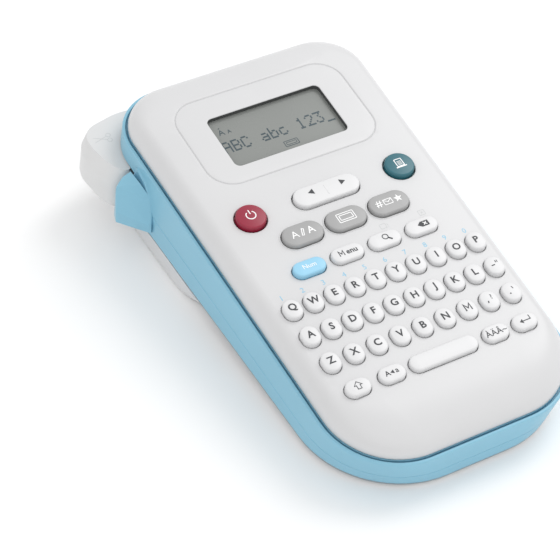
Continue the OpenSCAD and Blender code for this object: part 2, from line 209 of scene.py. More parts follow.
def within(points, loop):
    """Which of the points lie inside a closed loop."""
    x, y = points[:, 0], points[:, 1]
    inside = np.zeros(len(points), bool)
    for i, here in enumerate(loop):
        x0, y0, x1, y1 = *loop[i - 1][:2], *here[:2]
        crosses = (y0 > y) != (y1 > y)
        if crosses.any():
            inside ^= crosses & (x < x0 + (y - y0) * (x1 - x0) / ((y1 - y0) or 1))
    return inside


# ---- mesh building ----

class Shape:
    """Points and faces in the face frame, with the number of each face's material."""

    def __init__(self):
        self.points, self.faces, self.inks = [], [], []

    def add(self, points, faces, ink=0):
        first = len(self.points)
        self.points += [tuple(p) for p in points]
        self.faces += [[first + i for i in f] for f in faces]
        self.inks += [ink] * len(faces)

    def loft(self, rings, ink=0, start=True, end=True):
        """Joins rings of equally many points; start and end close the first and the last."""
        n, first = len(rings[0]), len(self.points)
        faces = [[r * n + i, r * n + (i + 1) % n, (r + 1) * n + (i + 1) % n, (r + 1) * n + i]
                 for r in range(len(rings) - 1) for i in range(n)]
        if start:
            faces.append(list(range(n))[::-1])
        if end:
            faces.append([(len(rings) - 1) * n + i for i in range(n)])
        self.add([p for ring in rings for p in ring], faces, ink)
        return [[first + r * n + i for i in range(n)] for r in range(len(rings))]

    def plane(self, outer, holes, grid=0, ink=0):
        """Fills the area inside loop outer and outside the loops in holes, over points grid apart."""
        loops = [outer, *holes]
        index = [i for loop in loops for i in loop]
        flat = [Vector(self.points[i][:2]) for i in index]
        z = self.points[outer[0]][2]
        edges, first = [], 0
        for loop in loops:
            edges += [(first + i, first + (i + 1) % len(loop)) for i in range(len(loop))]
            first += len(loop)
        if grid:
            low = np.min([p[:] for p in flat], 0)
            high = np.max([p[:] for p in flat], 0)
            taken = np.array([p[:] for p in flat])
            for x in np.arange(low[0] + grid / 2, high[0], grid):
                for y in np.arange(low[1] + grid / 2, high[1], grid):
                    if np.hypot(taken[:, 0] - x, taken[:, 1] - y).min() > grid * 0.35:
                        index.append(len(self.points))
                        self.points.append((x, y, z))
                        flat.append(Vector((x, y)))
        made = delaunay_2d_cdt(flat, edges, [], 0, 1e-6)
        source = [index[olds[0]] for olds in made[3]]
        centres = np.array([np.mean([made[0][i][:] for i in f], 0) for f in made[2]])
        kept = within(centres, [self.points[i] for i in outer])
        for loop in holes:
            kept &= ~within(centres, [self.points[i] for i in loop])
        faces = [[source[i] for i in f] for f, keep in zip(made[2], kept) if keep]
        self.faces += faces
        self.inks += [ink] * len(faces)

    def tube(self, x, y, z0, z1, outer, inner=0.0, ink=0, edge=0.15):
        """Round post with slightly broken edges, hollow where inner is given."""
        rings = [level(circle(outer - edge), z0, x, y), level(circle(outer), z0 + edge, x, y),
                 level(circle(outer), z1 - edge, x, y), level(circle(outer - edge), z1, x, y)]
        if inner:
            rings += [level(circle(inner), z1, x, y), level(circle(inner), z0, x, y), rings[0]]
        self.loft(rings, ink, not inner, not inner)

    def block(self, low, high, ink=0, edge=0.2):
        """Box with broken edges."""
        w, l = high[0] - low[0], high[1] - low[1]
        x, y = (high[0] + low[0]) / 2, (high[1] + low[1]) / 2
        r = min(edge * 2, w * 0.4, l * 0.4)
        small = rounded(w - edge, l - edge, r * 0.8, 3)
        full = rounded(w, l, r, 3)
        self.loft([level(small, low[2], x, y), level(full, low[2] + edge / 2, x, y),
                   level(full, high[2] - edge / 2, x, y), level(small, high[2], x, y)], ink)

    def stamp(self, art, x, y, surface, ink=1):
        """Lays flat artwork at (x, y) on the surface, which gives a height for each point."""
        points, faces = art
        self.add([(px + x, py + y, pz + surface(px + x, py + y)) for px, py, pz in points], faces, ink)

    def warp(self, change):
        self.points = [change(*p) for p in self.points]

    def mesh(self, name, transform=None):
        made = bpy.data.meshes.new(name)
        used = sorted({i for f in self.faces for i in f})
        place = {old: new for new, old in enumerate(used)}
        made.from_pydata([self.points[i] for i in used], [], [[place[i] for i in f] for f in self.faces])
        made.polygons.foreach_set("material_index", self.inks)
        if transform is not None:
            made.transform(transform)
        work = bmesh.new()
        work.from_mesh(made)
        bmesh.ops.remove_doubles(work, verts=work.verts, dist=1e-7 if transform else 1e-5)
        bmesh.ops.recalc_face_normals(work, faces=work.faces)
        work.to_mesh(made)
        work.free()
        return made


def combine(base, *steps):
    """Base joined with, or cut by, other shapes: each step is an operation and a shape."""
    holder = bpy.data.objects.new("work", base.mesh("work"))
    bpy.context.scene.collection.objects.link(holder)
    for operation, shape in steps:
        tool = bpy.data.objects.new("tool", shape.mesh("tool"))
        bpy.context.scene.collection.objects.link(tool)
        step = holder.modifiers.new("step", "BOOLEAN")
        step.operation, step.object, step.solver = operation, tool, "EXACT"
        made = bpy.data.meshes.new_from_object(holder.evaluated_get(bpy.context.evaluated_depsgraph_get()))
        holder.modifiers.clear()
        holder.data = made
        bpy.data.objects.remove(tool)
    out = Shape()
    out.add([v.co for v in holder.data.vertices], [list(p.vertices) for p in holder.data.polygons])
    bpy.data.objects.remove(holder)
    return out


def piece(shape, name, body, looks, replaced=(), sharp=35):
    """Turns a shape into a finished piece that rides on a body and stands for CAD nodes."""
    made = shape.mesh(name, FACE)
    for look in looks:
        made.materials.append(look)
    made.polygons.foreach_set("use_smooth", [True] * len(made.polygons))
    made.set_sharp_from_angle(angle=math.radians(sharp))
    obj = bpy.data.objects.new(name, made)
    bpy.context.scene.collection.objects.link(obj)
    shading = obj.modifiers.new("even shading", "WEIGHTED_NORMAL")
    shading.keep_sharp = True
    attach(obj, body)
    if replaced:
        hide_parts(*replaced)
    return obj


# ---- flat artwork: a list of points round (0, 0) and their faces, INK_T thick ----

def patch(outline, lift=0.0):
    """Filled outline."""
    shape = Shape()
    shape.loft([level(outline, lift - INK_T), level(outline, lift + INK_T / 2)])
    return shape.points, shape.faces


def stroke(line, width, closed=False, lift=0.0):
    """Line of even width."""
    line = [Vector(p) for p in line]
    n = len(line)
    points, faces = [], []
    for i, p in enumerate(line):
        before = (p - line[i - 1]).normalized() if closed or i else None
        after = (line[(i + 1) % n] - p).normalized() if closed or i < n - 1 else None
        way = (before or after) + (after or before)
        way = way.normalized() if way.length > 1e-6 else after
        across = Vector((-way.y, way.x))
        reach = width / 2 / max(abs(across.dot(Vector((-(after or before).y, (after or before).x)))), 0.5)
        for side, z in ((1, -INK_T), (-1, -INK_T), (-1, INK_T / 2), (1, INK_T / 2)):
            points.append((p.x + across.x * reach * side, p.y + across.y * reach * side, z + lift))
    for i in range(n if closed else n - 1):
        a, b = 4 * i, 4 * ((i + 1) % n)
        faces += [[a + k, a + (k + 1) % 4, b + (k + 1) % 4, b + k] for k in range(4)]
    if not closed:
        faces += [[0, 3, 2, 1], [4 * n - 4 + k for k in range(4)]]
    return points, faces


def words(text, cap, weight=0.0):
    """Lettering in the built-in font, its capitals cap high, centred on its own box."""
    curve = bpy.data.curves.new("lettering", "FONT")
    curve.body, curve.size, curve.offset = text, cap / 0.73, weight
    curve.extrude, curve.resolution_u = INK_T * 0.75, 3
    holder = bpy.data.objects.new("lettering", curve)
    bpy.context.scene.collection.objects.link(holder)
    made = bpy.data.meshes.new_from_object(holder.evaluated_get(bpy.context.evaluated_depsgraph_get()))
    points = np.array([v.co for v in made.vertices])
    points[:, :2] -= (points[:, :2].min(0) + points[:, :2].max(0)) / 2
    points[:, 2] -= INK_T * 0.25
    faces = [list(p.vertices) for p in made.polygons]
    bpy.data.objects.remove(holder)
    bpy.data.curves.remove(curve)
    return [tuple(p) for p in points], faces


def group(*parts):
    """Several artworks in one; each part is (artwork, x, y)."""
    points, faces = [], []
    for (part_points, part_faces), x, y in parts:
        first = len(points)
        points += [(px + x, py + y, pz) for px, py, pz in part_points]
        faces += [[first + i for i in f] for f in part_faces]
    return points, faces


def box_line(w, h, width, r=0.25):
    return stroke(rounded(w, h, r, 2), width, closed=True)


# ---- materials ----

def srgb(r, g, b):
    """Linear colour of an 8-bit display colour."""
    return [((c / 255 + 0.055) / 1.055) ** 2.4 if c > 10 else c / 255 / 12.92 for c in (r, g, b)]


def moulded(name, colour, rough=0.4, shade=0.03, grain=0.04, grain_mm=0.35, **sockets):
    """Moulded plastic or rubber: a soft drift of colour and gloss, over a fine even grain."""
    look = bpy.data.materials.new(name)
    look.use_nodes = True
    tree = look.node_tree
    link, node = tree.links.new, tree.nodes.new
    shader = tree.nodes["Principled BSDF"]
    place = node("ShaderNodeTexCoord")
    drift = node("ShaderNodeTexNoise")
    drift.inputs["Scale"].default_value = 28
    drift.inputs["Detail"].default_value = 3
    link(place.outputs["Object"], drift.inputs["Vector"])
    tone = node("ShaderNodeValToRGB")
    base = srgb(*colour)
    tone.color_ramp.elements[0].position, tone.color_ramp.elements[1].position = 0.3, 0.7
    tone.color_ramp.elements[0].color = [c * (1 - shade) for c in base] + [1]
    tone.color_ramp.elements[1].color = [min(1, c * (1 + shade)) for c in base] + [1]
    link(drift.outputs["Fac"], tone.inputs["Fac"])
    link(tone.outputs["Color"], shader.inputs["Base Color"])
    gloss = node("ShaderNodeMapRange")
    gloss.inputs["To Min"].default_value, gloss.inputs["To Max"].default_value = rough * 0.9, rough * 1.1
    link(drift.outputs["Fac"], gloss.inputs["Value"])
    link(gloss.outputs["Result"], shader.inputs["Roughness"])
    fine = node("ShaderNodeTexNoise")
    fine.inputs["Scale"].default_value = 1 / (grain_mm * MM)
    fine.inputs["Detail"].default_value = 2
    link(place.outputs["Object"], fine.inputs["Vector"])
    bump = node("ShaderNodeBump")
    bump.inputs["Strength"].default_value = grain
    bump.inputs["Distance"].default_value = 0.1 * MM
    link(fine.outputs["Fac"], bump.inputs["Height"])
    link(bump.outputs["Normal"], shader.inputs["Normal"])
    for socket, value in sockets.items():
        shader.inputs[socket.replace("_", " ")].default_value = value
    return look


def brushed(name, colour, rough=0.3, stretch=(1, 1, 14)):
    """Metal drawn or rolled along one way."""
    look = moulded(name, colour, rough, shade=0.06, grain=0.12, grain_mm=0.25, Metallic=1.0)
    tree = look.node_tree
    lines = tree.nodes.new("ShaderNodeMapping")
    lines.inputs["Scale"].default_value = stretch
    place = tree.nodes["Texture Coordinate"]
    tree.links.new(place.outputs["Object"], lines.inputs["Vector"])
    for fine in [n for n in tree.nodes if n.type == "TEX_NOISE"]:
        tree.links.new(lines.outputs["Vector"], fine.inputs["Vector"])
    return look


def banded(name, low, high, at, axis=1, **sockets):
    """Jacket with one colour below the given place along an axis and another above it."""
    look = moulded(name, low, **sockets)
    tree = look.node_tree
    split = tree.nodes.new("ShaderNodeSeparateXYZ")
    tree.links.new(tree.nodes["Texture Coordinate"].outputs["Object"], split.inputs["Vector"])
    step = tree.nodes.new("ShaderNodeValToRGB")
    span = tree.nodes.new("ShaderNodeMapRange")
    span.inputs["From Min"].default_value, span.inputs["From Max"].default_value = at - 0.01, at + 0.01
    tree.links.new(split.outputs[axis], span.inputs["Value"])
    tree.links.new(span.outputs["Result"], step.inputs["Fac"])
    step.color_ramp.interpolation = "CONSTANT"
    step.color_ramp.elements[1].position = 0.5
    step.color_ramp.elements[0].color = [*srgb(*low), 1]
    step.color_ramp.elements[1].color = [*srgb(*high), 1]
    tree.links.new(step.outputs["Color"], tree.nodes["Principled BSDF"].inputs["Base Color"])
    return look


WHITE = moulded("white_plastic", (211, 211, 212), rough=0.34, shade=0.012)
KEY_WHITE = moulded("key_white", (221, 221, 222), rough=0.36, shade=0.01, grain=0.03)
LEVER_WHITE = moulded("lever_white", (216, 216, 216), rough=0.42, shade=0.015)
BLUE = moulded("blue_plastic", (134, 188, 210), rough=0.36, shade=0.02)
BLUE_KEY = moulded("blue_key", (150, 205, 232), rough=0.36, shade=0.015, grain=0.03)
GREY_KEY = moulded("grey_key", (163, 163, 163), rough=0.36, shade=0.02, grain=0.03)
RED_KEY = moulded("red_key", (150, 32, 58), rough=0.33, shade=0.03, grain=0.03)
TEAL_KEY = moulded("teal_key", (44, 104, 116), rough=0.33, shade=0.03, grain=0.03)
# Dark grey that paints shade onto the walls of the display window's recess.
PAINTED_SHADE_WALL = moulded("painted_shade_recess_wall", (70, 72, 72), rough=0.5, shade=0.05)
LCD = moulded("lcd_face", (132, 135, 132), rough=0.28, shade=0.02, grain=0.01, Coat_Weight=0.3)
LCD_INK = moulded("lcd_ink", (48, 68, 76), rough=0.3, shade=0.03, grain=0.0, Coat_Weight=0.3)
DARK_INK = moulded("dark_ink", (56, 58, 62), rough=0.5, shade=0.03, grain=0.02)
WHITE_INK = moulded("white_ink", (250, 250, 250), rough=0.5, shade=0.01, grain=0.02)
BLUE_INK = moulded("blue_ink", (140, 196, 222), rough=0.5, shade=0.02, grain=0.02)
PALE_INK = moulded("pale_ink", (196, 198, 198), rough=0.5, shade=0.02, grain=0.02)


# ---- the shells ----

def roll(t, deep, wall, reach):
    """Ring of the cover's rounding at t, from 0 at the rim to 1 at the key plane."""
    turn = math.radians(90 * t)
    out = [wall + (r - wall) * (1 - math.cos(turn)) for r in reach]
    return level(plan(*out), RIM_Z + (deep - RIM_Z) * math.sin(turn))


def key_place(node):
    """Centre and size of a key's cap, without its flange."""
    low, high = face_box(node)
    w, l = high.x - low.x - 2 * FLANGE, high.y - low.y - 2 * FLANGE
    return (low.x + high.x) / 2, (low.y + high.y) / 2, w, l


KEYS = sorted(n for n in nodes if n.startswith("key_") or n.endswith("_key"))
PLACES = {n: key_place(n) for n in [*KEYS, "arrow_rocker"]}
ROUND = ("power_key", "print_key")
GREY = ("style_key", "frame_key", "symbol_key")


def sink(x, y, z):
    """The cover falls away towards its sides, most of all at the key plane."""
    share = max(0, 1 - z / RIM_Z)
    return x, y, z - CROWN * (abs(x) / HALF_W) ** 4 * share


def cover_height(x, y):
    return sink(x, y, 0)[2]


def hole(shape, outline, x, y, lip, ink=0, raised=0.0):
    """Opening through the cover with a rounded upper edge; returns its loops above and below."""
    rings = []
    if raised:
        rings += [level(outline(0.75), 0, x, y), level(outline(0.55), raised, x, y)]
    for turn in (0, 30, 60, 90):
        a = math.radians(turn)
        rings.append(level(outline(lip * (1 - math.sin(a))), raised - lip * (1 - math.cos(a)), x, y))
    loops = shape.loft(rings, 0, False, False)
    # The walls below the lip take material ink; for the display window that is the painted shade.
    deep = shape.loft([rings[-1], level(outline(0), -WALL, x, y)], ink, False, False)
    return loops[0], deep[1]


def cover_shell():
    shape = Shape()
    steps = 12
    reach = (ROLL_SIDE, ROLL_HIGH, ROLL_LOW)
    outer = [level(plan(0.3), RIM_Z), level(plan(0.08), RIM_Z + 0.08)]
    outer += [roll(i / steps, 0, 0, reach) for i in range(steps + 1) if i]
    inner = [roll(i / steps, -WALL, WALL, [r - 0.4 for r in reach]) for i in range(steps + 1)]
    skin = shape.loft(inner[::-1] + outer, 0, False, False)
    above, below = [], []
    for node, (x, y, w, l) in PLACES.items():
        gap = 2 * KEY_GAP if node in ROUND else KEY_GAP
        gap = 1.5 * KEY_GAP if node == "arrow_rocker" else gap
        loops = hole(shape, lambda grow: pill(w + 2 * (gap + grow), l + 2 * (gap + grow)), x, y,
                     0.35, raised=0.22 if node in GREY else 0.0)
        above.append(loops[0])
        below.append(loops[1])
    # The display window's walls below the lip take the painted shade, the cover's second material.
    window = hole(shape, lambda grow: rounded(LCD_W + 2 * grow, LCD_L + 2 * grow, LCD_R + grow), 0, LCD_Y,
                  0.3, ink=1)
    below.append(window[1])
    groove_w, groove_l, groove_r, groove_y = 76, 45.8, 11.4, 58.3
    groove_side = ((-0.1, 0), (0.1, -0.12), (0.4, -0.45), (0.7, -0.12), (0.9, 0))
    groove = shape.loft([level(rounded(groove_w - 2 * i, groove_l - 2 * i, groove_r - i, 12),
                               z, 0, groove_y) for i, z in groove_side], 0, False, False)
    shape.plane(skin[-1], [*above, groove[0]], grid=5)
    shape.plane(groove[-1], [window[0]], grid=5)
    shape.plane(skin[0], below)
    shape.warp(sink)
    # bosses that take the case screws
    for x, y in END_SCREWS:
        shape.tube(x, y, FLOOR_TOP, END_BOSS_TOP, BOSS_R, BOSS_BORE)
    for x, y in SIDE_SCREWS:
        shape.tube(x, y, FLOOR_TOP, -WALL + cover_height(x, y) + 0.3, BOSS_R, BOSS_BORE)
    piece(shape, "cover_shell", "case", [WHITE, PAINTED_SHADE_WALL], ["top_cover"])


def cover_print():
    """Figures above the first letter row and the two small pictures above the menu row."""
    shape = Shape()
    for i, key in enumerate("qwertyuiop"):
        x, y = PLACES["key_" + key][:2]
        shape.stamp(words("1234567890"[i], 2.4), x - 0.7, y + 7.1, cover_height, 0)
    search_x, menu_y = PLACES["search_key"][:2]
    erase_x = PLACES["backspace_key"][0]
    book = group((box_line(2.5, 2.2, 0.22), -0.5, 0), (stroke([(0, -0.9), (0, 0.2)], 0.25), 1.5, 0.4),
                 (patch(circle(0.16, 8)), 1.5, -0.9))
    crossed = group((box_line(2.6, 2.4, 0.22), 0, 0), (stroke([(-0.6, -0.6), (0.6, 0.6)], 0.22), 0, 0),
                    (stroke([(-0.6, 0.6), (0.6, -0.6)], 0.22), 0, 0))
    shape.stamp(book, search_x + 3.9, menu_y + 6.6, cover_height, 1)
    shape.stamp(crossed, erase_x + 4.3, menu_y + 6.6, cover_height, 1)
    piece(shape, "cover_print", "case", [BLUE_INK, PALE_INK])


def pocket_outline(grow):
    """Plan of the cutter's pocket, grown into the case by grow, reaching out past the case."""
    far = 30
    left, low = -HALF_W - far, POCKET_Y - grow
    inside = POCKET_X + grow
    bend = arc(CORNER.x, CORNER.y, POCKET_R - grow, 180, 90, 10)
    end_x = CORNER.x + 10
    return ([(left, low), (inside, low)] + bend + [(end_x, bend[-1][1]), (end_x, HALF_LEN + far),
            (left, HALF_LEN + far)])


def pocket(grow):
    shape = Shape()
    shape.loft([level(pocket_outline(grow), -80), level(pocket_outline(grow), POCKET_TOP + grow)])
    return shape


def outlet():
    """Tape outlet's housing on the side of the band."""
    corners = [(-2.9, 1.2, -13.2), (-9.3, 1.2, -16.5), (-13.3, -1, -18.5), (-14.6, -5, -29),
               (-2.8, -11, -20.5), (-4.3, -16, -31), (1, -8, -14)]
    work = bmesh.new()
    for dx, dy, z in corners:
        x, y = -HALF_W + 1 + dx, POCKET_Y + dy
        work.verts.new((x, y, z))
        work.verts.new((x + 0.4, y, -35.5))
    bmesh.ops.convex_hull(work, input=work.verts)
    bmesh.ops.dissolve_limit(work, angle_limit=math.radians(2), verts=work.verts, edges=work.edges)
    bmesh.ops.bevel(work, geom=list(work.edges), offset=0.5, segments=2, affect="EDGES", profile=0.6)
    shape = Shape()
    work.verts.index_update()
    shape.add([v.co[:] for v in work.verts], [[v.index for v in f.verts] for f in work.faces])
    work.free()
    return shape


def valley():
    """Wedge that is cut out of the outlet's upper face along the band."""
    shape = Shape()
    x = -HALF_W
    near = [(x - 1.2, POCKET_Y + 2, -8), (x - 7.6, POCKET_Y + 2, -8), (x - 3.8, POCKET_Y + 2, -19)]
    far = [(x - 1.2, POCKET_Y - 12, -8), (x - 2.9, POCKET_Y - 12, -8), (x - 2.0, POCKET_Y - 12, -19)]
    shape.loft([near, far])
    return shape


def band_frame():
    edge = -BAND_OVER - BAND_FLARE
    ridge = -BAND_OVER - 1.6
    upper, lower = level(plan(ridge), BAND_TOP - 1), slanted(low_plan(edge), -0.5)
    line, dip = 0.62, 0.28  # where the parting line runs down the side, and how deep it is
    in_line = between(level(plan(ridge + dip), BAND_TOP - 1), slanted(low_plan(edge + dip), -0.5),
                      line)
    body = Shape()
    lip = WALL + 0.3
    # locating lip, dark groove and the bright ridge beside it, as inset and height
    rim = [(lip + 0.2, 1.6), (lip, 1.4), (lip, 0), (0.2, 0), (0.05, -0.15), (0.05, -1.7),
           (-0.75, -1.7), (-0.85, 0.1), (-1.05, 0.3), (ridge + 0.4, 0.3), (ridge + 0.12, 0.18),
           (ridge, -0.1)]
    body.loft([*(level(plan(inset), BAND_TOP + up) for inset, up in rim), upper,
               between(upper, lower, line - 0.014), in_line, between(upper, lower, line + 0.014), lower,
               slanted(low_plan(edge + 0.5), 0)][::-1])
    tray = Shape()
    tray.loft([level(plan(WALL + 1.5), FLOOR_TOP), level(plan(WALL + 1.5), BAND_TOP + 3)])
    bays = Shape()
    bays.loft([slanted(low_plan(WALL + 0.6 - BAND_FLARE), 2), level(plan(WALL + 0.6), FLOOR_BOTTOM)])
    slot = Shape()
    slot.block((POCKET_X - 2, POCKET_Y + 0.35, -34), (POCKET_X + WALL + 2, POCKET_Y + 2.75, -20))
    shape = combine(body, ("DIFFERENCE", tray), ("DIFFERENCE", combine(bays, ("DIFFERENCE", pocket(WALL)))),
                    ("DIFFERENCE", pocket(0)), ("DIFFERENCE", slot))
    housing = combine(outlet(), ("DIFFERENCE", valley()))
    shape.add(housing.points, housing.faces)
    # pivot pin of the lever
    pin = face_point("cutter_press")
    low_z, high_z = face_box("cutter_lever")[0].z, face_box("cutter_lever")[1].z
    shape.tube(pin.x, pin.y, low_z - 0.5, high_z + 0.7, 2)
    # ribs that hold the cell contacts
    cells_low, cells_high = face_box("battery_contacts")
    for y in (cells_low.y - 1.5, cells_high.y):
        shape.block((-33.6, y, -23.8), (33.6, y + 1.5, FLOOR_BOTTOM + 0.1))
    # ring and posts that carry the motor
    motor_low, motor_high = face_box("drive_motor")
    mx, my = (motor_low.x + motor_high.x) / 2, (motor_low.y + motor_high.y) / 2
    motor_r = (motor_high.x - motor_low.x) / 2
    shape.tube(mx, my, motor_high.z - 9, motor_high.z, motor_r + 1.4, motor_r + 0.05)
    for turn in MOTOR_POSTS:
        a = math.radians(turn)
        post = (mx + (motor_r + 0.9) * math.cos(a), my + (motor_r + 0.9) * math.sin(a))
        shape.tube(*post, motor_high.z - 2, FLOOR_BOTTOM + 0.1, 0.7)
    # posts under the circuit board
    board_low = face_box("circuit_board")[0].z
    for x, y in BOARD_POSTS:
        shape.tube(x, y, FLOOR_TOP - 0.1, board_low, 2.2)
    piece(shape, "band_frame", "case", [BLUE], ["middle_frame"], sharp=28)


def belly(inset, drop):
    """Deep part of the back cover, as a closed loft that reaches below the table."""
    w, far, r = HALF_W + BAND_FLARE - 0.3 - inset, HALF_LEN + BAND_FLARE - 2 - inset, CORNER_R - 1 - inset
    start = BELLY_START + inset

    def ring(half, y0, y1, radius):
        return [(x, y + (y0 + y1) / 2) for x, y in rounded(2 * half, y1 - y0, radius, 10)]

    rings = [slanted(ring(w, start, far, r), drop), level(ring(w - 0.8, start + 17, far - 8, r), -48),
             level(ring(w - 3.8, start + 28, far - 15, r - 4), -66)]
    shape = Shape()
    shape.loft(rings[::-1])
    return shape


def shallow(inset, drop, foot):
    """Part of the back cover under the keyboard half, just below the band."""
    shape = Shape()
    shape.loft([slanted(low_plan(-BAND_FLARE + 2.6 + inset), foot),
                slanted(low_plan(-BAND_FLARE + 1.1 + inset * 0.8), foot - 0.9),
                slanted(low_plan(-BAND_FLARE - 0.3 + inset), drop)])
    return shape


def above_table(shape, height, edge=0.0):
    """The shape cut off flat at a height over the table, its new edge rounded by edge."""
    work = bmesh.new()
    work.from_mesh(shape.mesh("cut"))
    spot = TO_FACE @ Vector((0, 0, height * MM))
    way = (TO_FACE.to_3x3() @ Vector((0, 0, 1))).normalized()
    bmesh.ops.bisect_plane(work, geom=[*work.verts, *work.edges, *work.faces], plane_co=spot, plane_no=way,
                           clear_inner=True)
    made = bmesh.ops.holes_fill(work, edges=[e for e in work.edges if e.is_boundary])["faces"]
    if edge:
        bmesh.ops.bevel(work, geom=list({e for f in made for e in f.edges}), offset=edge, segments=4,
                        affect="EDGES", profile=0.5)
    out = Shape()
    work.verts.index_update()
    out.add([v.co[:] for v in work.verts], [[v.index for v in f.verts] for f in work.faces])
    work.free()
    return out


def back_shell():
    foot = END_DEPTH - BAND_DEPTH
    outer = combine(shallow(0, GAP, foot), ("UNION", above_table(belly(0, GAP), 0, 1.2)))
    inner = combine(shallow(WALL, GAP - 1, foot - 1.2), ("UNION", above_table(belly(WALL, GAP - 1), WALL)))
    shape = combine(above_table(outer, 0), ("DIFFERENCE", inner))
    piece(shape, "back_shell", "back", [WHITE], ["back_cover"], sharp=28)


# ---- the cutter's lever ----

def lever():
    low, high = face_box("cutter_lever")
    pin = face_point("cutter_press")
    rim = POCKET_R + 5.2
    inner = arc(CORNER.x, CORNER.y, rim, 180, 105, 6)
    x, far = -HALF_W, HALF_LEN
    foot = [(pin.x + 2, far + 5.5), (x + 5, far + 6.2), (x - 8.3, far + 3.4), (x - 12.3, far + 0.2),
            (x - 14, far - 6), (x - 12.4, far - 17), (x - 9.6, POCKET_Y + 5.2), (x - 4.2, POCKET_Y + 3.8)]
    crest = [(pin.x + 1.6, far + 4.4), (x + 5, far + 5), (x - 7.2, far + 2.4), (x - 10.9, far - 0.8),
             (x - 11.6, far - 7), (x - 9.4, far - 17), (x - 6.2, POCKET_Y + 7), (x - 2.8, POCKET_Y + 5)]

    def ring(corners, r):
        return soften(corners + inner, r, 4)
    top, t = high.z, high.z - low.z
    mid = [tuple(Vector(a).lerp(Vector(b), 0.55)) for a, b in zip(foot, crest)]
    shape = Shape()
    shape.loft([level(ring(foot, 2.4), low.z + 0.4), level(ring(foot, 2.6), low.z + 1.0),
                level(ring(foot, 2.8), top - t * 0.42), level(ring(foot, 3.0), top - t * 0.3),
                level(ring(mid, 3.0), top - t * 0.12), level(ring(crest, 3.2), top - 0.25),
                level(ring(crest, 3.2), top)])
    shape.tube(pin.x, pin.y, low.z, top, 3.8, 2.05)
    line = 0.22
    scissors = group((stroke([(-3.4, 1.2), (2.0, -0.9)], line), 0, 0),
                     (stroke([(-3.4, -1.5), (2.0, 0.9)], line), 0, 0),
                     (stroke(arc(2.9, 1.3, 0.95, 0, 340, 14), line, closed=True), 0, 0),
                     (stroke(arc(2.9, -1.3, 0.95, 0, 340, 14), line, closed=True), 0, 0))
    turned = [(Matrix.Rotation(math.radians(-8), 3, "Z") @ Vector(p))[:] for p in scissors[0]]
    shape.stamp((turned, scissors[1]), x - 5.6, far - 5.2, lambda px, py: top, 1)
    piece(shape, "lever", "cutter", [LEVER_WHITE, PALE_INK], ["cutter_lever"], sharp=50)


# ---- the display ----

DOTS = {"A": "0E 11 11 1F 11 11 11", "B": "1E 11 11 1E 11 11 1E", "C": "0E 11 10 10 10 11 0E",
        "a": "00 00 0E 01 0F 11 0F", "b": "10 10 16 19 11 11 1E", "c": "00 00 0E 10 10 11 0E",
        "1": "04 0C 04 04 04 04 0E", "2": "0E 11 01 02 04 08 1F", "3": "1F 02 04 02 01 11 0E",
        "_": "00 00 00 00 00 00 00 1F"}


def dot_line(text, pitch, rise):
    """Characters of square dots; (0, 0) is the line's upper left corner."""
    dots = []
    side = 0.94
    for i, letter in enumerate(text):
        for row, bits in enumerate(DOTS.get(letter, "").split()):
            for column in range(5):
                if int(bits, 16) >> (4 - column) & 1:
                    square = rounded(pitch * side, rise * side, 0.05, 1)
                    dots.append((patch(square), (i * 6 + column + 0.5) * pitch, -(row + 0.5) * rise))
    return group(*dots)


def display():
    low, high = face_box("display_panel")
    shape = Shape()
    y = (low.y + high.y) / 2
    w, l = high.x - low.x, high.y - low.y
    top = -LCD_DEPTH
    shape.loft([level(rounded(w, l, 1), low.z, 0, y), level(rounded(w, l, 1), top - 1.4, 0, y),
                level(rounded(w - 3, l - 3, 1), top - 1.4, 0, y),
                level(rounded(w - 3, l - 3, 1), top - 0.1, 0, y),
                level(rounded(w - 3.2, l - 3.2, 1), top, 0, y)])
    pitch, rise = (LCD_W - 1.2) / 12 / 6, 0.84
    left = -LCD_W / 2 + 0.6

    def glass(px, py):
        return top

    shape.stamp(dot_line("ABC abc 123_", pitch, rise), left, LCD_Y + 1.6, glass)
    shape.stamp(words("A", 2.9, 0.02), left + 3.2, LCD_Y + 6.6, glass)
    shape.stamp(patch(rounded(0.7, 0.5, 0.1, 2)), left + 3.2, LCD_Y + 8.8, glass)
    shape.stamp(words("A", 1.9, 0.02), left + 6.5, LCD_Y + 6.1, glass)
    frame_sign = group((box_line(6.0, 2.7, 0.3), 0, 0), (box_line(4.4, 1.2, 0.25), 0, 0))
    shape.stamp(frame_sign, 1.7, LCD_Y - 8.8, glass)
    piece(shape, "display", "case", [LCD, LCD_INK], ["display_panel"])


# ---- the keys ----

EDGE = 0.75  # rounding of a cap's upper edge
DOME = {"letter": 0.35, "long": 0.25}


def cap(w, l, dome):
    """Cap of a key with its flange and stem, and the height of its top at any point."""
    r = min(w, l) / 2
    stem_z = FLANGE_TOP - 2.1
    stem = pill(r * 1.4, r * 1.4 + 0.001)

    def grown(by):
        return pill(w + 2 * by, l + 2 * by)

    shape = Shape()
    rings = [level(stem, stem_z), level(stem, FLANGE_TOP - 1), level(grown(FLANGE), FLANGE_TOP - 1),
             level(grown(FLANGE), FLANGE_TOP), level(grown(0), FLANGE_TOP)]
    crest = KEY_TOP - dome * (1 - EDGE / r) ** 2
    for turn in range(0, 91, 15):
        a = math.radians(turn)
        rings.append(level(grown(-EDGE * (1 - math.cos(a))), crest - EDGE * (1 - math.sin(a))))
    for share in (0.25, 0.45, 0.65, 0.85):
        inset = EDGE + (r - EDGE) * share
        rings.append(level(grown(-inset), KEY_TOP - dome * (1 - inset / r) ** 2))
    shape.loft(rings)

    def top(x, y):
        off = math.hypot(max(abs(x) - (w / 2 - r), 0), max(abs(y) - (l / 2 - r), 0))
        return KEY_TOP - dome * min(off / r, 1) ** 2

    return shape, top


def arrow(way, size=1.0):
    tip, back, half = 1.5 * size, 0.9 * size, 1.35 * size
    return patch([(way * tip, 0), (-way * back, half), (-way * back, -half)][::way])


def letter_m(cap):
    x, y = cap * 0.4, cap / 2
    return stroke([(-x, -y), (-x, y), (0, -y * 0.3), (x, y), (x, -y)], cap * 0.15)


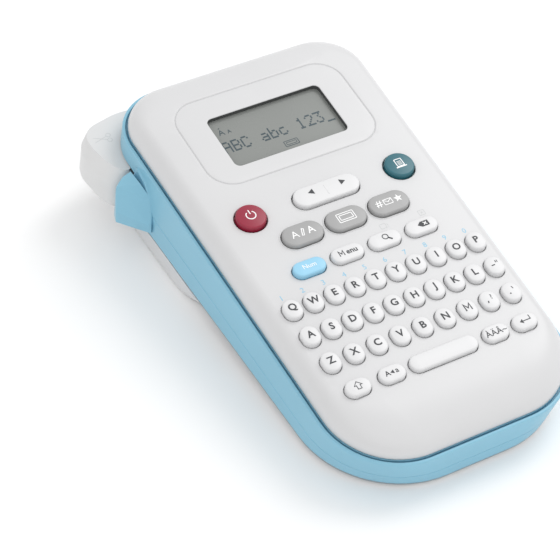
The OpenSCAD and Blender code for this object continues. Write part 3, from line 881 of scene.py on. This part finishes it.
def legend(node):
    """Artwork of a key, and the number of its ink: 1 dark, 2 white."""
    thin = 0.26
    if node == "power_key":
        return group((stroke(arc(0, 0, 1.9, 125, 415, 26), 0.42), 0, 0),
                     (stroke([(0, 0.5), (0, 2.6)], 0.42), 0, 0)), 2
    if node == "print_key":
        lines = [(stroke([(-0.9, y), (0.9, y)], 0.22), 0, 0) for y in (0.9, 0.35, -0.2, -0.75)]
        return group((box_line(3.0, 3.6, 0.36), 0, 0.3),
                     (stroke([(-2.3, -1.9), (2.3, -1.9)], 0.5), 0, 0), *lines), 2
    if node == "style_key":
        pencil = stroke([(-0.9, -1.4), (0.2, 1.6), (0.9, 1.2), (-0.2, -1.6)], 0.34, closed=True)
        return group((words("A", 3.4), -3.5, 0), (pencil, 0, 0), (words("A", 3.4, 0.03), 3.5, 0)), 2
    if node == "frame_key":
        return group((box_line(7.2, 4.1, 0.34), 0, 0), (box_line(5.4, 2.3, 0.34), 0, 0)), 2
    if node == "symbol_key":
        mail = group((box_line(3.6, 2.5, 0.3), 0, 0),
                     (stroke([(-1.6, 1.0), (0, -0.2), (1.6, 1.0)], 0.3), 0, 0))
        tips = []
        for i in range(10):
            reach, turn = 0.8 if i % 2 else 1.9, math.radians(90 + 36 * i)
            tips.append((reach * math.cos(turn), reach * math.sin(turn)))
        return group((words("#", 3.3, 0.02), -4.4, 0), (mail, -0.4, 0), (patch(tips), 4.1, 0)), 2
    if node == "num_key":
        return words("Num", 2.1), 2
    if node == "menu_key":
        return group((letter_m(2.4), -3.2, 0), (words("enu", 2.4, 0.05), 1.2, -0.35)), 1
    if node == "search_key":
        return group((stroke(arc(0, 0, 1.15, 0, 345, 22), 0.34, closed=True), -0.5, 0.4),
                     (stroke([(0.4, -0.45), (1.7, -1.6)], 0.62), 0, 0)), 1
    if node == "backspace_key":
        body = [(-2.6, 0), (-1.1, 1.25), (2.2, 1.25), (2.2, -1.25), (-1.1, -1.25)]
        return patch(body[::-1]), 1
    if node == "key_shift":
        half = [(0.75, -1.6), (0.75, 0), (1.6, 0), (0, 1.7)]
        return stroke(half + [(-x, y) for x, y in half[-2::-1]], thin, closed=True), 1
    if node == "key_small":
        return group((words("A", 2.3, 0.02), -2.0, 0), (arrow(-1, 0.62), 0.1, -0.1),
                     (words("a", 2.3, 0.02), 2.0, -0.2)), 1
    if node == "key_accents":
        return words("ÀÄÂ~", 2.6, 0.0), 1
    if node == "key_enter":
        return group((stroke([(2.3, 1.4), (2.3, -0.4), (-1.3, -0.4)], 0.34), 0, 0),
                     (patch([(-2.4, -0.4), (-1.0, 0.6), (-1.0, -1.4)][::-1]), 0, 0)), 1
    if node == "key_dash":
        return group((stroke([(-1.5, -0.3), (-0.1, -0.3)], 0.4), 0, 0),
                     (stroke([(0.8, 0.5), (0.8, 1.5)], 0.3), 0, 0),
                     (stroke([(1.5, 0.5), (1.5, 1.5)], 0.3), 0, 0)), 1
    if node == "key_comma":
        return group((stroke([(-1.1, -0.8), (-1.4, -1.7)], 0.42), 0, 0),
                     (words("?", 2.2, 0.0), 1.0, 0.6)), 1
    if node == "key_period":
        return group((patch(circle(0.3, 10)), -1.1, -1.2), (stroke([(1.1, 0.5), (0.8, 1.6)], 0.3), 0, 0)), 1
    if node == "key_space":
        return None
    if node == "key_m":
        return letter_m(3.1), 1
    return words(node[-1].upper(), 3.1, 0.09), 1


CAPS = {"power_key": (RED_KEY, "red_key"), "print_key": (TEAL_KEY, "teal_key"),
        "num_key": (BLUE_KEY, "blue_key"), **{n: (GREY_KEY, "grey_key") for n in GREY}}


NUDGE = {"backspace_key": 0.9, "search_key": 0.9, "menu_key": 0.6}  # legends that sit off the middle


def key_cap(node):
    x, y, w, l = PLACES[node]
    wide = max(w, l) > 1.5 * min(w, l)
    shape, top = cap(w, l, DOME["long" if wide else "letter"])
    art = legend(node)
    if art:
        shape.stamp(art[0], NUDGE.get(node, 0), 0.25, lambda px, py: top(px, py) + INK_LIFT, art[1])
    if node == "backspace_key":
        for way in (-1, 1):
            bar = stroke([(-0.7, -0.7 * way), (0.7, 0.7 * way)], 0.34, lift=INK_LIFT + INK_T)
            shape.stamp(bar, 0.6 + NUDGE[node], 0.25, top, 2)
    shape.warp(lambda px, py, pz: (px + x, py + y, pz))
    look, slot = CAPS.get(node, (KEY_WHITE, "white_key"))
    body = joints[node + "_press"]["child"]
    piece(shape, node + "_top", body, [look, DARK_INK, WHITE_INK], [node])


def rocker():
    x, y, w, l = PLACES["arrow_rocker"]
    shape, top = cap(w, l, 0.2)
    low = face_box("arrow_rocker")[0].z
    flange_z = FLANGE_TOP - 1
    for i, (px, py, pz) in enumerate(shape.points):
        if pz < FLANGE_TOP + 0.001:
            shape.points[i] = (px, py, max(pz - 1, flange_z - 0.8))
    shape.block((-2.4, -2, low), (2.4, 2, flange_z))
    shape.stamp(arrow(-1), -6.2, 1.1, lambda px, py: top(px, py) + 0.05)
    shape.stamp(arrow(1), 7.4, 1.1, lambda px, py: top(px, py) + 0.05)
    ridge = Shape()
    ridge.block((-0.35, -2.4, KEY_TOP - 0.3), (0.35, 2.4, KEY_TOP + 0.0), edge=0.25)
    shape.add([(px, py, pz + 0.12) for px, py, pz in ridge.points], ridge.faces)
    shape.warp(lambda px, py, pz: (px + x, py + y, min(pz, KEY_TOP + 2 * INK_T)))
    piece(shape, "rocker_top", "rocker", [KEY_WHITE, DARK_INK], ["arrow_rocker"])


# ---- what is inside keeps its CAD shape ----

def inside():
    cells = nodes["batteries"]
    split = sum(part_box("batteries"), Vector()).y / 2 - 0.006
    looks = {
        "circuit_board": brushed_board(),
        "keypad_mat": moulded("mat_rubber", (190, 192, 190), rough=0.65, grain=0.1),
        "battery_contacts": brushed("contact_steel", (196, 196, 192)),
        "tape_cassette": moulded("cassette_plastic", (206, 208, 208), rough=0.38, Coat_Weight=0.1),
        "print_head": moulded("head_black", (52, 53, 55), rough=0.4, shade=0.08),
        "platen_roller": moulded("platen_rubber", (48, 50, 52), rough=0.7, grain=0.15, shade=0.08),
        "motor_gear": moulded("gear_nylon", (226, 222, 206), rough=0.45, Subsurface_Weight=0.1),
        "drive_motor": brushed("motor_can", (184, 184, 182), stretch=(6, 6, 1)),
        "case_screws": brushed("screw_steel", (170, 170, 170)),
        "cutter_blade": brushed("blade_steel", (205, 206, 208), rough=0.22),
    }
    for name, look in looks.items():
        nodes[name].data.materials.clear()
        nodes[name].data.materials.append(look)
    cells.data.materials.clear()
    cells.data.materials.append(banded("cell_jacket", (38, 40, 44), (196, 132, 60), split, rough=0.3))


def brushed_board():
    """Solder-masked board with a faint pattern of tracks."""
    look = moulded("board_green", (36, 92, 60), rough=0.35, shade=0.1)
    tree = look.node_tree
    tracks = tree.nodes.new("ShaderNodeTexBrick")
    tracks.inputs["Scale"].default_value = 260
    tracks.inputs["Color1"].default_value = (*srgb(36, 92, 60), 1)
    tracks.inputs["Color2"].default_value = (*srgb(40, 100, 66), 1)
    tracks.inputs["Mortar"].default_value = (*srgb(64, 126, 84), 1)
    tracks.inputs["Mortar Size"].default_value = 0.03
    tree.links.new(tree.nodes["Texture Coordinate"].outputs["Object"], tracks.inputs["Vector"])
    tree.links.new(tracks.outputs["Color"], tree.nodes["Principled BSDF"].inputs["Base Color"])
    return look


# ---- floor, light and camera ----

def stage():
    floor = bpy.data.meshes.new("floor")
    reach = 4
    corners = [(-reach, -reach, 0), (reach, -reach, 0), (reach, reach, 0), (-reach, reach, 0)]
    floor.from_pydata(corners, [], [(0, 1, 2, 3)])
    obj = bpy.data.objects.new("floor", floor)
    bpy.context.scene.collection.objects.link(obj)
    floor.materials.append(moulded("floor_paper", (250, 250, 250), rough=0.8, shade=0.004, grain=0.0))


def lamp(name, at, size, power, target=(0, 0, 0.02)):
    light = bpy.data.lights.new(name, "AREA")
    light.shape, light.size, light.energy = "DISK", size, power
    obj = bpy.data.objects.new(name, light)
    obj.location = at
    obj.rotation_euler = (Vector(target) - Vector(at)).to_track_quat("-Z", "Y").to_euler()
    bpy.context.scene.collection.objects.link(obj)


def light_and_camera():
    scene = bpy.context.scene
    scene.view_settings.view_transform = "Standard"
    world = bpy.data.worlds.new("studio")
    world.use_nodes = True
    world.node_tree.nodes["Background"].inputs["Color"].default_value = (1, 1, 1, 1)
    world.node_tree.nodes["Background"].inputs["Strength"].default_value = 0.9
    scene.world = world
    lamp("softbox", (0.75, 0.2, 0.95), 0.7, 4.4)
    lamp("window", (-0.5, -0.9, 1.1), 1.2, 2)
    at, spot, tip = (-347.8, -412.0, 622.5), (-37.59, -11.99, 0), math.radians(3.66)
    camera = bpy.data.cameras.new("camera")
    camera.lens, camera.sensor_width = 138.8, 36
    camera.clip_start, camera.clip_end = 0.01, 20
    obj = bpy.data.objects.new("camera", camera)
    obj.location = FACE @ Vector(at)
    aim = (FACE @ Vector(spot) - obj.location).to_track_quat("-Z", "Y")
    obj.rotation_euler = (aim.to_matrix() @ Matrix.Rotation(tip, 3, "Z")).to_euler()
    scene.collection.objects.link(obj)
    scene.camera = obj


cover_shell()
cover_print()
band_frame()
back_shell()
lever()
display()
for key_node in KEYS:
    key_cap(key_node)
rocker()
inside()
stage()
light_and_camera()
